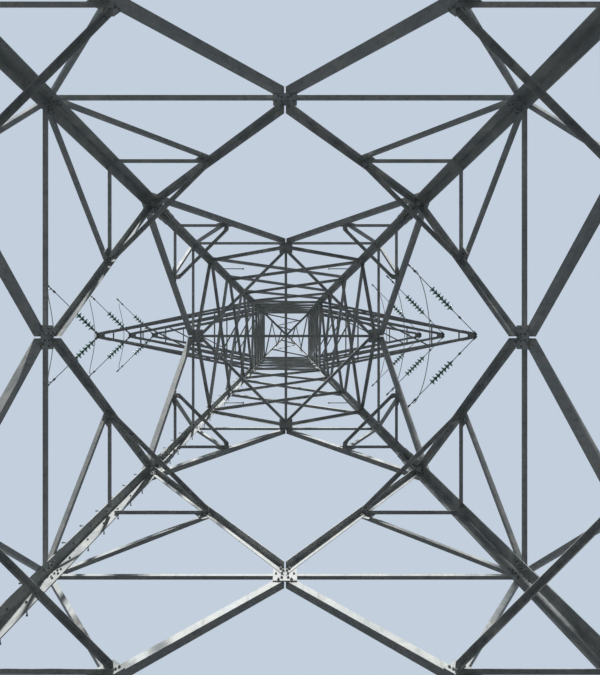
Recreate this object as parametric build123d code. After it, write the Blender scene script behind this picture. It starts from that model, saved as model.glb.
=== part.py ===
from build123d import *

import math
import os
from collections import namedtuple

os.makedirs("parts", exist_ok=True)

# A lattice pylon at a right-angle turn of an overhead line: four tapering legs,
# a square cage above the waist, three pairs of crossarms and a pointed peak.
# The origin is on the ground at the tower's axis, +Z is up and the arms lie along X.
# The front is the -Y side. All sizes are in millimetres.

# Outline of the tower
ground_half_width = 4160
waist_half_width = 1200
waist_height = 23800
tower_height = 39000
arm_spacing = 4600
arm_depth = 2400
arm_reach = 6500
arms_per_side = 3

# Heights of the panel points on the tapering body
portal_height = 5580
lower_belt_height = 9550
knee_height = 13280
upper_belt_height = 16430
cross_heights = (17860, 20090, 22200)

# Rolled steel angles, as flange width and thickness
lower_leg = (180, 16)
upper_leg = (150, 12)
cage_leg = (120, 10)
peak_leg = (80, 8)
main_brace = (100, 8)
knee_brace = (100, 8)
cross_brace = (70, 6)
belt_angle = (50, 5)
small_brace = (60, 6)
cage_brace = (60, 6)
peak_brace = (50, 5)
arm_chord = (80, 8)
arm_brace = (50, 5)

# Joints between the angles
end_lap = 45
middle_gap = 10
apex_rise = 25
apex_drop = 55
upper_apex_rise = 60
joint_offset = 180
meeting_offset = 80
splice_rise = 690
foot_joint_height = 520
joint_plate = 300
belt_plate_drop = 20
diaphragm_drop = 90
diaphragm_plate = 450
hip_depth = 110
hip_rise = 14
hip_lap = 10
hip_plate = 110
hip_plate_thickness = 8
hip_plate_edge = 26
post_rise = 80
cage_joint_gap = 200
waist_joint_gap = 260
arm_plate_thickness = 10
arm_root_gap = 30
fit_gap = 3

# Feet
base_plate = 620
base_plate_thickness = 30
base_plate_inset = 110
anchor_spacing = 460
anchor_hole = 42
rib_height = 240
rib_reach = 190
rib_thickness = 14

# Tip of a crossarm
tip_half_width = 85
tip_plate_length = 300
tip_plate_width = 210
tip_plate_thickness = 14
tip_gusset_length = 450
tip_depth = 120
strut_gaps = (550, 1490, 4030)
web_foot = 56
web_offset = 80
floor_offset = 65
floor_edge = 44

# Insulator strings and their fittings
string_turn = 45
string_droop = 4
string_spread = 70
disc_count = 7
disc_pitch = 146
disc_radius = 127
disc_thickness = 32
cap_radius = 45
cap_length = 66
pin_radius = 12
link_radius = 13
knob_radius = 34
knob_length = 90
short_knob_length = 36
left_link_length = 120
right_link_length = 1100
link_knob_place = 0.6
clamp_length = 1130
clamp_body_place = 0.68
lug_length = 150
lug_thickness = 32
lug_inset = 10
tongue_length = 130
tongue_width = 60
tongue_thickness = 16
tongue_hole = 20
terminal_length = 110
terminal_radius = 22
terminal_place = 195

# Jumper cables, as steps from where one leaves its string: x, y and z
cable_radius = 14
left_jumper = (
    (0, 0, 0),
    (0, 0, -140),
    (25, 60, -290),
    (75, 190, -430),
    (150, 390, -550),
    (240, 660, -650),
    (320, 1000, -720),
    (380, 1390, -750),
)
right_jumper = (
    (0, 0, 0),
    (0, 0, -150),
    (20, 55, -300),
    (60, 170, -440),
    (120, 350, -560),
    (190, 600, -660),
    (260, 920, -735),
    (320, 1290, -785),
    (370, 1685, -815),
    (400, 2085, -830),
)

# Short rods that stand in from the legs on the front and the rear
stay_rod_height = 18980
stay_rod_length = 600
stay_rod_width = 22
stay_knob_radius = 28

# Climbing pegs on one leg
peg_radius = 9
peg_length = 150
peg_pitch = 273
first_peg_height = 2600

# Values that follow from those above
lean = (ground_half_width - waist_half_width) / waist_height
slope_factor = math.sqrt(1 + lean**2)
arm_heights = [waist_height + arm_spacing * i for i in range(arms_per_side)]
strut_places = [arm_reach - gap for gap in strut_gaps]
cage_levels = sorted(arm_heights + [height + arm_depth for height in arm_heights])
post_top = cage_levels[-1] + post_rise
splice_height = knee_height + splice_rise
faces = ("front", "right", "rear", "left")

front = Plane(origin=(0, -ground_half_width, 0), x_dir=(1, 0, 0), z_dir=(0, -1, lean))
corner_mirror = Plane(origin=(0, 0, 0), x_dir=(0, 0, 1), z_dir=(1, -1, 0))
cage_front = Plane(origin=(0, -waist_half_width, 0), x_dir=(1, 0, 0), z_dir=(0, -1, 0))


def half_width(height):
    return ground_half_width - lean * height


def spot(across, height):
    # A place on the sloping front face, as its own two coordinates
    return (across, height * slope_factor)


def prism(corners, travel):
    return Solid.extrude(Face(Wire.make_polygon(corners)), Vector(travel))


def joined(pieces):
    return pieces[0].fuse(*pieces[1:]).clean()


def world(plane, place, out):
    flat = Vector(place)
    return plane.from_local_coords(Vector(flat.X, flat.Y, out))


def brace(plane, start, end, angle, side, edge, plate=0, start_lap=end_lap, finish_lap=end_lap):
    # An angle on one side of a plane of plates: side is 1 outside and -1 inside,
    # and edge is 1 where its free flange is along its upper edge, or -1
    flange, thickness = angle
    along = (Vector(end) - Vector(start)).normalized()
    across = Vector(-along.Y, along.X)
    if across.Y < 0 or (across.Y == 0 and across.X < 0):
        across = -across
    half = flange / 2 * edge
    inner = (flange / 2 - thickness) * edge
    back = 0 if side > 0 else -plate
    profile = [
        (-half, 0),
        (half, 0),
        (half, flange),
        (inner, flange),
        (inner, thickness),
        (-half, thickness),
    ]
    begin = Vector(start) - along * start_lap
    finish = Vector(end) + along * finish_lap
    corners = [world(plane, begin + across * p, back + side * q) for p, q in profile]
    return prism(corners, world(plane, finish, 0) - world(plane, begin, 0))


def flat_plate(plane, corners, low, high):
    # A plate lying in the plane, from one depth to another
    ring = [world(plane, corner, low) for corner in corners]
    return prism(ring, plane.z_dir * (high - low))


def block_plate(plane, centre, width, height, low, high):
    x, y = centre
    corners = [
        (x - width / 2, y - height / 2),
        (x + width / 2, y - height / 2),
        (x + width / 2, y + height / 2),
        (x - width / 2, y + height / 2),
    ]
    return flat_plate(plane, corners, low, high)


def cut_at(piece, plane, keep):
    return split(piece, bisect_by=plane, keep=keep)


def direction(plane, way):
    return plane.x_dir * way.X + plane.y_dir * way.Y


def across_way(plane, place, way):
    # A cutting plane that stands square to the face, with its normal along way
    return Plane(origin=world(plane, place, 0), z_dir=direction(plane, way))


def off_corner(piece, plane, corner, rise, plate, angle):
    # Inner braces of two faces meet at a leg, so each ends clear of the other
    keep_off = plate + angle[0] + fit_gap
    way = Vector(-rise[1], rise[0])
    place = Vector(corner) - way.normalized() * keep_off
    return cut_at(piece, across_way(plane, place, way), Keep.BOTTOM)


def off_body_corner(piece, plate, angle):
    corner = (-ground_half_width, 0)
    return off_corner(piece, front, corner, (lean, slope_factor), plate, angle)


def off_both_corners(piece, trim):
    piece = trim(piece)
    return mirror(trim(mirror(piece, about=Plane.YZ)), about=Plane.YZ)


def corner_angle(bottom, top, low_width, high_width, angle, factor):
    # An angle whose two flanges lie in the front and left faces
    flange, thickness = angle
    wall = thickness * factor
    outer = -low_width
    corners = [
        (outer, outer, bottom),
        (outer + flange, outer, bottom),
        (outer + flange, outer + wall, bottom),
        (outer + wall, outer + wall, bottom),
        (outer + wall, outer + flange, bottom),
        (outer, outer + flange, bottom),
    ]
    travel = (low_width - high_width, low_width - high_width, top - bottom)
    return prism(corners, travel)


def turned(piece, quarter_turns):
    return piece.rotate(Axis.Z, 90 * quarter_turns)


def both_halves(piece):
    return [piece, mirror(piece, about=Plane.YZ)]


def leg_line(height, angle):
    # Across coordinate of the bolt line on the left leg's front flange
    return -(half_width(height) - angle[0] / 2)


# Feet and legs


def base_foot():
    centre = -(ground_half_width - base_plate_inset)
    plate = Pos(centre, centre, base_plate_thickness / 2) * Box(
        base_plate, base_plate, base_plate_thickness
    )
    for x in (-1, 1):
        for y in (-1, 1):
            hole = Cylinder(anchor_hole / 2, base_plate_thickness * 3)
            shift = anchor_spacing / 2
            plate -= Pos(centre + x * shift, centre + y * shift, 0) * hole
    return plate.solid()


def foot_rib(quarter_turn):
    # A triangular rib from the leg's free edge down to its base plate
    flange, thickness = lower_leg
    edge = -half_width(base_plate_thickness) + flange - rib_thickness
    wall = -half_width(base_plate_thickness) + thickness * slope_factor
    reach = wall + rib_reach
    rise = base_plate_thickness + rib_height
    corners = [
        (edge, wall, base_plate_thickness),
        (edge, reach, base_plate_thickness),
        (edge, wall + lean * rib_height, rise),
    ]
    rib = prism(corners, (rib_thickness, 0, 0))
    if quarter_turn:
        rib = mirror(rib, about=corner_mirror)
    return rib


def leg():
    lower = corner_angle(
        base_plate_thickness,
        splice_height,
        half_width(base_plate_thickness),
        half_width(splice_height),
        lower_leg,
        slope_factor,
    )
    upper = corner_angle(
        splice_height,
        waist_height,
        half_width(splice_height),
        waist_half_width,
        upper_leg,
        slope_factor,
    )
    return joined([base_foot(), lower, upper, foot_rib(False), foot_rib(True)])


def cage_post():
    return corner_angle(
        waist_height, post_top, waist_half_width, waist_half_width, cage_leg, 1
    )


# Bracing of the sloping faces


Panel = namedtuple("Panel", "apex foot angle side edge leg belt meeting")

portal_panel = Panel(
    apex=portal_height - apex_rise,
    foot=foot_joint_height,
    angle=main_brace,
    side=-1,
    edge=-1,
    leg=lower_leg,
    belt=portal_height,
    meeting=portal_height - meeting_offset,
)
lower_panel = Panel(
    apex=lower_belt_height - apex_drop,
    foot=portal_height + joint_offset,
    angle=main_brace,
    side=1,
    edge=-1,
    leg=lower_leg,
    belt=lower_belt_height,
    meeting=lower_belt_height - meeting_offset,
)
knee_panel = Panel(
    apex=lower_belt_height + apex_rise,
    foot=knee_height,
    angle=knee_brace,
    side=-1,
    edge=1,
    leg=lower_leg,
    belt=lower_belt_height,
    meeting=lower_belt_height + meeting_offset,
)
shoulder_panel = Panel(
    apex=upper_belt_height - apex_drop,
    foot=knee_height,
    angle=knee_brace,
    side=1,
    edge=-1,
    leg=upper_leg,
    belt=upper_belt_height,
    meeting=upper_belt_height - meeting_offset,
)


def middle_cut(piece):
    # The halves of a face end a little before its middle line
    plane = Plane(origin=(-middle_gap, 0, 0), z_dir=(1, 0, 0))
    return cut_at(piece, plane, Keep.BOTTOM)


def clear_of_belt(piece, panel):
    # The outer braces stop short of the belt's edge
    below = panel.belt > panel.meeting
    room = belt_angle[0] / 2 + fit_gap
    edge = panel.belt * slope_factor + (-room if below else room)
    plane = across_way(front, (0, edge), Vector(0, 1))
    return cut_at(piece, plane, Keep.BOTTOM if below else Keep.TOP)


def half_panel(panel):
    # The left half of a panel: its main brace, the plate at its middle, a level
    # brace to the leg and a sloping one to the leg at the meeting height
    angle = panel.angle
    plate = panel.leg[1]
    apex_place, foot_place, along, to_leg = panel_line(panel)
    main = brace(front, apex_place, foot_place, angle, panel.side, panel.edge, plate)
    main = middle_cut(main)
    place = (apex_place + foot_place) / 2
    height = (panel.apex + panel.foot) / 2
    node = [
        place + along * (joint_plate / 2) - to_leg * (angle[0] / 2),
        place + along * (joint_plate / 2) + to_leg * (joint_plate / 2),
        place - along * (joint_plate / 2) + to_leg * (joint_plate / 2),
        place - along * (joint_plate / 2) - to_leg * (angle[0] / 2),
    ]
    node = flat_plate(front, node, -plate, 0)
    leg_end = spot(leg_line(height, panel.leg), height)
    level = brace(front, leg_end, place, small_brace, -1, -1, plate)
    level = off_body_corner(level, plate, angle)
    leg_end = spot(leg_line(panel.meeting, panel.leg), panel.meeting)
    slope = brace(front, leg_end, place, small_brace, 1, -1, plate)
    slope = clear_of_belt(slope, panel)
    beside = place + to_leg * (angle[0] / 2 + fit_gap)
    beside = across_way(front, beside, to_leg)
    if panel.side > 0:
        slope = cut_at(slope, beside, Keep.TOP)
        main = clear_of_belt(main, panel)
    else:
        level = cut_at(level, beside, Keep.TOP)
        main = off_body_corner(main, plate, angle)
    return joined([main, node, level, slope])


def panel_line(panel):
    # The ends of a main brace, the way along it, and the way square to it on the
    # side of the leg
    apex_place = Vector(spot(0, panel.apex))
    foot_place = Vector(spot(leg_line(panel.foot, panel.leg), panel.foot))
    along = (foot_place - apex_place).normalized()
    to_leg = Vector(-along.Y, along.X)
    if to_leg.X > 0:
        to_leg = -to_leg
    return apex_place, foot_place, along, to_leg


def upper_k():
    top = cross_heights[0] - joint_offset / 2
    main = brace(
        front,
        spot(0, upper_belt_height + upper_apex_rise),
        spot(leg_line(top, upper_leg), top),
        cross_brace,
        -1,
        1,
        upper_leg[1],
    )
    return off_body_corner(middle_cut(main), upper_leg[1], cross_brace)


def crossed_panel(plane, bottom, top, angle, plate, trim):
    # Two crossing braces, one on each side of the leg flanges, with a packing
    # plate where they cross
    near = brace(plane, bottom, (-top[0], top[1]), angle, 1, -1, plate)
    far = brace(plane, (-bottom[0], bottom[1]), top, angle, -1, 1, plate)
    far = off_both_corners(far, trim)
    share = bottom[0] / (bottom[0] + top[0])
    crossing = (0, bottom[1] + (top[1] - bottom[1]) * share)
    packing = block_plate(plane, crossing, angle[0], angle[0], -plate, 0)
    return joined([near, far, packing])


def upper_crosses():
    heights = (cross_heights[0] + joint_offset / 2,) + cross_heights[1:]
    tops = cross_heights[1:] + (waist_height - waist_joint_gap,)
    panels = []
    for bottom, top in zip(heights, tops):
        panels.append(
            crossed_panel(
                front,
                spot(leg_line(bottom, upper_leg), bottom),
                spot(leg_line(top, upper_leg), top),
                cross_brace,
                upper_leg[1],
                lambda piece: off_body_corner(piece, upper_leg[1], cross_brace),
            )
        )
    return panels


def belt(height, leg_angle):
    # A level angle outside the legs, with the plate where the braces meet it
    plate = leg_angle[1]
    left = spot(leg_line(height, leg_angle), height)
    bar = brace(front, left, (-left[0], left[1]), belt_angle, 1, -1, plate)
    centre = (0, left[1] - belt_plate_drop)
    node = block_plate(front, centre, joint_plate, joint_plate, -plate, 0)
    return joined([bar, node])


def hip_brace(panel):
    # A level angle across the corner, hung under a plate that stands in from the
    # middle of a main brace
    inner = small_brace[1] if panel.side > 0 else panel.angle[1]
    face_depth = panel.leg[1] + inner
    height = (panel.apex + panel.foot) / 2 + hip_rise
    share = (panel.apex - height) / (panel.apex - panel.foot)
    apex_place, foot_place, along, to_leg = panel_line(panel)
    start = world(front, apex_place + (foot_place - apex_place) * share, -hip_depth)
    end = Vector(start.Y, start.X, start.Z)
    way = (end - start).normalized()
    floor = Plane(origin=start, x_dir=way, z_dir=(0, 0, 1))
    length = (end - start).length
    bar = brace(floor, (0, 0), (length, 0), small_brace, -1, 1, start_lap=hip_lap)
    bar = cut_at(bar, Plane(origin=(start + end) / 2, z_dir=way), Keep.BOTTOM)
    plate = flat_plate(floor, hip_plate_corners(), 0, hip_plate_thickness)
    plate = cut_at(plate, front.offset(-face_depth), Keep.BOTTOM)
    half = joined([bar, plate])
    return joined([half, mirror(half, about=corner_mirror)])


def hip_plate_corners():
    # From beyond the main brace's inner side to where the bar is bolted
    near = hip_depth / math.sqrt(2)
    return [
        (-near - hip_plate_edge, near - hip_plate_edge),
        (-near + hip_plate_edge, near + hip_plate_edge),
        (hip_plate, hip_plate_edge),
        (hip_plate, -hip_plate_edge),
        (-hip_lap, -hip_plate_edge),
    ]


def hip_braces():
    bars = []
    for panel in (portal_panel, lower_panel, knee_panel, shoulder_panel):
        bar = hip_brace(panel)
        bars += [turned(bar, quarter) for quarter in range(4)]
    return bars


def diaphragm():
    # Level bars that hold the upper belt square: a diamond and a cross, on four
    # plates that meet the belt's own
    level = upper_belt_height - diaphragm_drop
    floor = Plane(origin=(0, 0, level), x_dir=(1, 0, 0), z_dir=(0, 0, 1))
    reach = half_width(level) - joint_plate / 2
    inner_face = front.offset(-upper_leg[1])
    centre = (0, -half_width(level))
    plate = block_plate(floor, centre, joint_plate, diaphragm_plate, 0, arm_plate_thickness)
    plate = cut_at(plate, inner_face, Keep.BOTTOM)
    bar = brace(floor, (-reach, 0), (0, -reach), cross_brace, -1, 1)
    pieces = [turned(plate, quarter) for quarter in range(4)]
    cut_face = front.offset(-upper_leg[1] - fit_gap)
    for quarter in range(4):
        pieces.append(turned(cut_at(bar, cut_face, Keep.BOTTOM), quarter))
    above = floor.offset(arm_plate_thickness)
    for quarter in (0, 1):
        bar = brace(above, (-reach, 0), (reach, 0), small_brace, 1, 1)
        pieces.append(turned(bar, quarter))
    return joined(pieces)


# Cage above the waist


def cage_face():
    left = -(waist_half_width - cage_leg[0] / 2)
    plate = cage_leg[1]
    corner = (-waist_half_width, 0)

    def trim(piece):
        return off_corner(piece, cage_front, corner, (0, 1), plate, cage_brace)

    pieces = []
    for low, high in zip(cage_levels, cage_levels[1:]):
        bottom = (left, low + cage_joint_gap)
        top = (left, high - cage_joint_gap)
        pieces.append(crossed_panel(cage_front, bottom, top, cage_brace, plate, trim))
    for level in cage_levels:
        height = level + cage_brace[0] / 2 + fit_gap
        bar = brace(cage_front, (left, height), (-left, height), cage_brace, -1, 1, plate)
        pieces.append(off_both_corners(bar, trim))
    return pieces


def peak():
    top = tower_height - tip_plate_thickness
    rise = top - post_top
    tip_half = tip_plate_width / 2 - middle_gap
    peak_lean = (waist_half_width - tip_half) / rise
    factor = math.sqrt(1 + peak_lean**2)
    side = Plane(
        origin=(0, -waist_half_width, post_top), x_dir=(1, 0, 0), z_dir=(0, -1, peak_lean)
    )
    post = corner_angle(post_top, top, waist_half_width, tip_half, peak_leg, factor)
    shares = (0.04, 0.36, 0.61, 0.8)
    places = []
    for share in shares:
        across = waist_half_width - peak_lean * rise * share - peak_leg[0] / 2
        places.append((across, rise * share * factor))
    pieces = []
    for i, (low, high) in enumerate(zip(places, places[1:])):
        way = 1 if i % 2 else -1
        start = (way * low[0], low[1])
        end = (-way * high[0], high[1])
        pieces.append(brace(side, start, end, peak_brace, way, 1, peak_leg[1], 30, 30))
    pieces.append(brace(side, (-places[0][0], places[0][1]), places[0], peak_brace, 1, -1))
    cap = Pos(0, 0, tower_height - tip_plate_thickness / 2) * Box(
        tip_plate_width, tip_plate_width, tip_plate_thickness
    )
    solids = [cap.solid()]
    for quarter in range(4):
        solids.append(turned(post, quarter))
        solids += [turned(piece, quarter) for piece in pieces]
    return joined(solids)


# Crossarms


def arm():
    # The right-hand arm, with its lower chords' undersides at height 0
    length = math.hypot(arm_reach - waist_half_width, waist_half_width - tip_half_width)
    run = Vector(arm_reach - waist_half_width, waist_half_width - tip_half_width, 0).normalized()
    outward = Vector(run.Y, -run.X, 0)
    root = (waist_half_width, -waist_half_width, 0)
    side = Plane(origin=root, x_dir=run, z_dir=outward)
    flange, thickness = arm_chord
    low = flange / 2
    top_end = length - tip_plate_length / 2
    slope = (arm_depth - tip_depth) / length

    def top_height(along):
        return arm_depth - slope * along

    def along_at(x):
        return (x - waist_half_width) / run.X

    bottom_chord = brace(
        side, (arm_root_gap, low), (length, low), arm_chord, -1, -1, start_lap=0, finish_lap=0
    )
    top_chord = brace(
        side,
        (arm_root_gap, top_height(arm_root_gap)),
        (top_end, top_height(top_end)),
        arm_chord,
        -1,
        1,
        start_lap=0,
        finish_lap=0,
    )
    outer, middle, inner = [along_at(x) for x in strut_places]
    webs = [
        (middle, middle),
        (inner, inner),
        (outer - web_offset, middle + web_offset),
        (middle - web_offset, inner + web_offset),
        (inner - web_offset, arm_root_gap + web_offset),
    ]
    side_pieces = [bottom_chord, top_chord]
    for foot, head in webs:
        start = (foot, web_foot)
        end = (head, top_height(head))
        bar = brace(side, start, end, arm_brace, -1, 1, thickness, start_lap=0, finish_lap=0)
        side_pieces.append(bar)
    gusset_start = length - tip_gusset_length
    tip_gusset = [
        (gusset_start, 0),
        (length, 0),
        (length, tip_depth),
        (gusset_start, top_height(gusset_start) + low),
    ]
    side_pieces.append(flat_plate(side, tip_gusset, 0, arm_plate_thickness))
    side_pieces += root_plates(run, outward)
    half = joined(side_pieces)
    pieces = [half, mirror(half, about=Plane.XZ)]
    pieces += arm_floor(side, thickness)
    centre = arm_reach - (tip_plate_length - tip_half_width) / 2
    tip_plate = Pos(centre, 0, -tip_plate_thickness / 2) * Box(
        tip_plate_length, tip_plate_width, tip_plate_thickness
    )
    pieces.append(tip_plate.solid())
    return joined(pieces)


def root_plates(run, outward):
    # Bent plates that bolt the chords to the front of the corner post
    corner = Vector(waist_half_width, -waist_half_width, 0)
    back = Vector(0, -1, 0)
    bend = (outward + back) * (arm_plate_thickness / (1 + outward.dot(back)))
    lap = Vector(-(cage_leg[0] - end_lap / 3), 0, 0)
    reach = run * (arm_root_gap + joint_plate / 2)
    ring = [
        corner + lap,
        corner,
        corner + reach,
        corner + reach + outward * arm_plate_thickness,
        corner + bend,
        corner + lap + back * arm_plate_thickness,
    ]
    plates = []
    flange = arm_chord[0]
    for low, high in ((0, flange), (arm_depth - flange, arm_depth + flange / 2)):
        corners = [place + Vector(0, 0, low) for place in ring]
        plates.append(prism(corners, (0, 0, high - low)))
    return plates


def arm_floor(side, thickness):
    # Struts and sloping bars on the flanges of the two lower chords
    floor = Plane(origin=(0, 0, 0), x_dir=(1, 0, 0), z_dir=(0, 0, -1))

    def half_gap(x):
        share = (x - waist_half_width) / (arm_reach - waist_half_width)
        outer = waist_half_width + (tip_half_width - waist_half_width) * share
        return outer - floor_edge

    bars = []
    for x in strut_places:
        bars.append(((x, -half_gap(x)), (x, half_gap(x))))
    outer, middle, inner = strut_places
    near = middle - floor_offset
    far = inner + floor_offset
    bars.append(((near, -half_gap(near)), (far, half_gap(far))))
    near = inner - floor_offset
    far = waist_half_width + arm_root_gap + floor_offset
    bars.append(((near, half_gap(near)), (far, -half_gap(far))))
    return [
        brace(floor, start, end, arm_brace, -1, 1, thickness, start_lap=0, finish_lap=0)
        for start, end in bars
    ]


# Strings, jumpers and pegs


def lug_frame(tip_x, side, height):
    # The lug's middle under the tip plate, with local X level along the string
    lug_level = height - tip_plate_thickness - lug_thickness / 2
    return Pos(tip_x, side * -string_spread, lug_level) * Rot(0, 0, 180 + side * string_turn)


def disc_string():
    # Caps, discs and pins of one string, turned in one piece about the X axis
    points = [(0, 0)]
    for i in range(disc_count):
        cap = i * disc_pitch
        rim = cap + cap_length + disc_thickness
        points += [
            (cap, cap_radius),
            (cap + cap_length, cap_radius),
            (rim - disc_thickness / 3, disc_radius),
            (rim, disc_radius),
            (rim - disc_thickness / 2, cap_radius),
            (rim, pin_radius),
            (cap + disc_pitch, pin_radius),
        ]
    points.append((disc_count * disc_pitch, 0))
    face = Face(Wire.make_polygon([(x, 0, z) for x, z in points]))
    return Solid.revolve(face, 360, Axis.X)


def rod(start, length, radius):
    # A round rod along the local X axis
    place = Pos(start + length / 2, 0, 0) * Rot(0, 90, 0)
    return (place * Cylinder(radius, length)).solid()


def link(length):
    # The rod from the lug to the first cap, with a knob on it
    knob = min(knob_length, short_knob_length * length / left_link_length)
    return [
        rod(-lug_inset, length + lug_inset, link_radius),
        rod(length * link_knob_place, knob, knob_radius),
    ]


def clamp():
    # The rod, its clamp body and the tongue that the line's own fitting is pinned to
    shaft = rod(0, clamp_length - tongue_length / 2, link_radius)
    body = rod(clamp_length * clamp_body_place, knob_length, knob_radius)
    tongue = Pos(clamp_length, 0, 0) * Box(tongue_length, tongue_width, tongue_thickness)
    hole = Cylinder(tongue_hole / 2, tongue_thickness * 2)
    tongue -= Pos(clamp_length + tongue_length / 4, 0, 0) * hole
    return joined([shaft, body, tongue.solid()])


def string_pieces(tip_x, side, link_length, height):
    # A string's lug and link, its discs, its clamp, and the top of its jumper
    lug_place = lug_frame(tip_x, side, height)
    lug = (lug_place * Box(lug_length, tongue_width, lug_thickness)).solid()
    frame = lug_place * Pos(lug_length / 2, 0, 0) * Rot(0, string_droop, 0)
    carrier = joined([lug] + [frame * piece for piece in link(link_length)])
    discs = frame * Pos(link_length, 0, 0) * disc_string()
    clamp_frame = frame * Pos(link_length + disc_count * disc_pitch, 0, 0)
    joint = (clamp_frame * Pos(clamp_length - terminal_place, 0, 0)).position
    terminal = Pos(joint.X, joint.Y, joint.Z - terminal_length / 2) * Cylinder(
        terminal_radius, terminal_length
    )
    end = joined([clamp_frame * clamp(), terminal.solid()])
    top = Vector(joint.X, joint.Y, joint.Z - terminal_length)
    return carrier, discs, end, top


def jumper(top, steps):
    # A cable down from one terminal and up to its mirror image on the other side
    half = [top + Vector(step) for step in steps]
    points = half + [Vector(point.X, -point.Y, point.Z) for point in reversed(half)]
    radii = []
    for before, point, after in zip(points, points[1:], points[2:]):
        first = point - before
        second = after - point
        half_turn = math.radians(first.get_angle(second) / 2)
        radii.append(0.45 * min(first.length, second.length) / math.tan(half_turn))
    path = FilletPolyline(*points, radius=radii)
    section = Plane(origin=path @ 0, z_dir=path % 0) * Circle(cable_radius)
    return sweep(section, path=path).solid(), min(radii), path.length


def clear_heights(first, last, joints):
    # Peg heights that stay away from the ends of the braces
    count = int((last - first) / peg_pitch)
    heights = [first + peg_pitch * i for i in range(count + 1)]
    return [h for h in heights if all(abs(h - joint) > peg_pitch / 2 for joint in joints)]


def peg(plane, place):
    base = plane.from_local_coords(Vector(place[0], place[1], 0))
    seat = Plane(origin=base, x_dir=plane.x_dir, z_dir=plane.z_dir)
    return Solid.extrude(Face(Wire.make_polygon(hexagon(seat))), plane.z_dir * peg_length)


def hexagon(seat):
    ring = [math.radians(60 * i) for i in range(6)]
    return [
        seat.from_local_coords(Vector(peg_radius * math.cos(a), peg_radius * math.sin(a), 0))
        for a in ring
    ]


def leg_pegs():
    joints = [portal_height, lower_belt_height, upper_belt_height, stay_rod_height]
    for panel in (portal_panel, lower_panel, knee_panel, shoulder_panel):
        joints += [panel.foot, panel.meeting]
    joints += [*cross_heights, splice_height, waist_height - waist_joint_gap, waist_height]
    cage_joints = []
    for level in cage_levels:
        cage_joints += [level - cage_joint_gap, level, level + cage_joint_gap]
    pegs = []
    for i, height in enumerate(clear_heights(first_peg_height, waist_height, joints)):
        angle = lower_leg if height < splice_height else upper_leg
        pegs.append((i, peg(front, spot(leg_line(height, angle), height))))
    across = -(waist_half_width - cage_leg[0] / 2)
    for i, height in enumerate(clear_heights(waist_height, post_top, cage_joints)):
        pegs.append((i, peg(cage_front, (across, height))))
    return [mirror(piece, about=corner_mirror) if i % 2 else piece for i, piece in pegs]


def stay_rod():
    across = -half_width(stay_rod_height)
    place = (across + end_lap, stay_rod_height * slope_factor)
    centre = (place[0] + stay_rod_length / 2, place[1])
    bar = block_plate(front, centre, stay_rod_length, stay_rod_width, 0, stay_rod_width)
    end = world(front, (place[0] + stay_rod_length, place[1]), stay_rod_width / 2)
    knob = Pos(*end) * Rot(0, 90, 0) * Cylinder(stay_knob_radius, stay_knob_radius)
    return joined([bar, knob.solid()])


# Write the pieces


def write(name, solids):
    shape = solids[0] if len(solids) == 1 else Compound(solids)
    export_step(shape, "parts/" + name + ".step")


def build_legs():
    corners = ("front_left", "front_right", "rear_right", "rear_left")
    whole = leg()
    for quarter, corner in enumerate(corners):
        write("leg_" + corner, [turned(whole, quarter)])
    write("cage_posts", [turned(cage_post(), quarter) for quarter in range(4)])


def build_faces():
    lower = both_halves(half_panel(portal_panel)) + both_halves(half_panel(lower_panel))
    middle = both_halves(half_panel(knee_panel)) + both_halves(half_panel(shoulder_panel))
    upper = both_halves(upper_k()) + upper_crosses()
    rods = both_halves(stay_rod())
    cage = cage_face()
    for quarter, face in enumerate(faces):
        write("lower_bracing_" + face, [turned(piece, quarter) for piece in lower])
        write("middle_bracing_" + face, [turned(piece, quarter) for piece in middle])
        pieces = upper if quarter % 2 else upper + rods
        write("upper_bracing_" + face, [turned(piece, quarter) for piece in pieces])
        write("cage_bracing_" + face, [turned(piece, quarter) for piece in cage])


def build_belts():
    belts = (
        ("portal_belt", portal_height, lower_leg),
        ("lower_belt", lower_belt_height, lower_leg),
        ("upper_belt", upper_belt_height, upper_leg),
    )
    for name, height, leg_angle in belts:
        bar = belt(height, leg_angle)
        write(name, [turned(bar, quarter) for quarter in range(4)])
    write("corner_braces", hip_braces())
    write("diaphragm", [diaphragm()])


def build_arms():
    right = arm()
    left = turned(right, 2)
    for level, height in zip(("low", "middle", "top"), arm_heights):
        write("crossarm_" + level + "_right", [right.moved(Pos(0, 0, height))])
        write("crossarm_" + level + "_left", [left.moved(Pos(0, 0, height))])
    write("peak", [peak()])


def build_lines():
    # The strings of both sides lead off to the left, half way to the front or rear
    sides = (
        ("left", -arm_reach, left_link_length, left_jumper),
        ("right", arm_reach, right_link_length, right_jumper),
    )
    for level, height in zip(("low", "middle", "top"), arm_heights):
        fittings = []
        strings = []
        for side, tip_x, link_length, steps in sides:
            for turn in (-1, 1):
                carrier, discs, end, top = string_pieces(tip_x, turn, link_length, height)
                fittings += [carrier, end]
                strings.append(discs)
            cable, bend, length = jumper(top, steps)
            print("jumper", level, side, "top", top, "least bend", bend, "length", length)
            write("jumper_" + level + "_" + side, [cable])
        write("insulators_" + level, strings)
        write("line_fittings_" + level, fittings)
    write("climbing_pegs", [turned(piece, 3) for piece in leg_pegs()])


build_legs()
build_faces()
build_belts()
build_arms()
build_lines()
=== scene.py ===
import math

import bmesh
import bpy
from mathutils import Matrix, Vector


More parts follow.
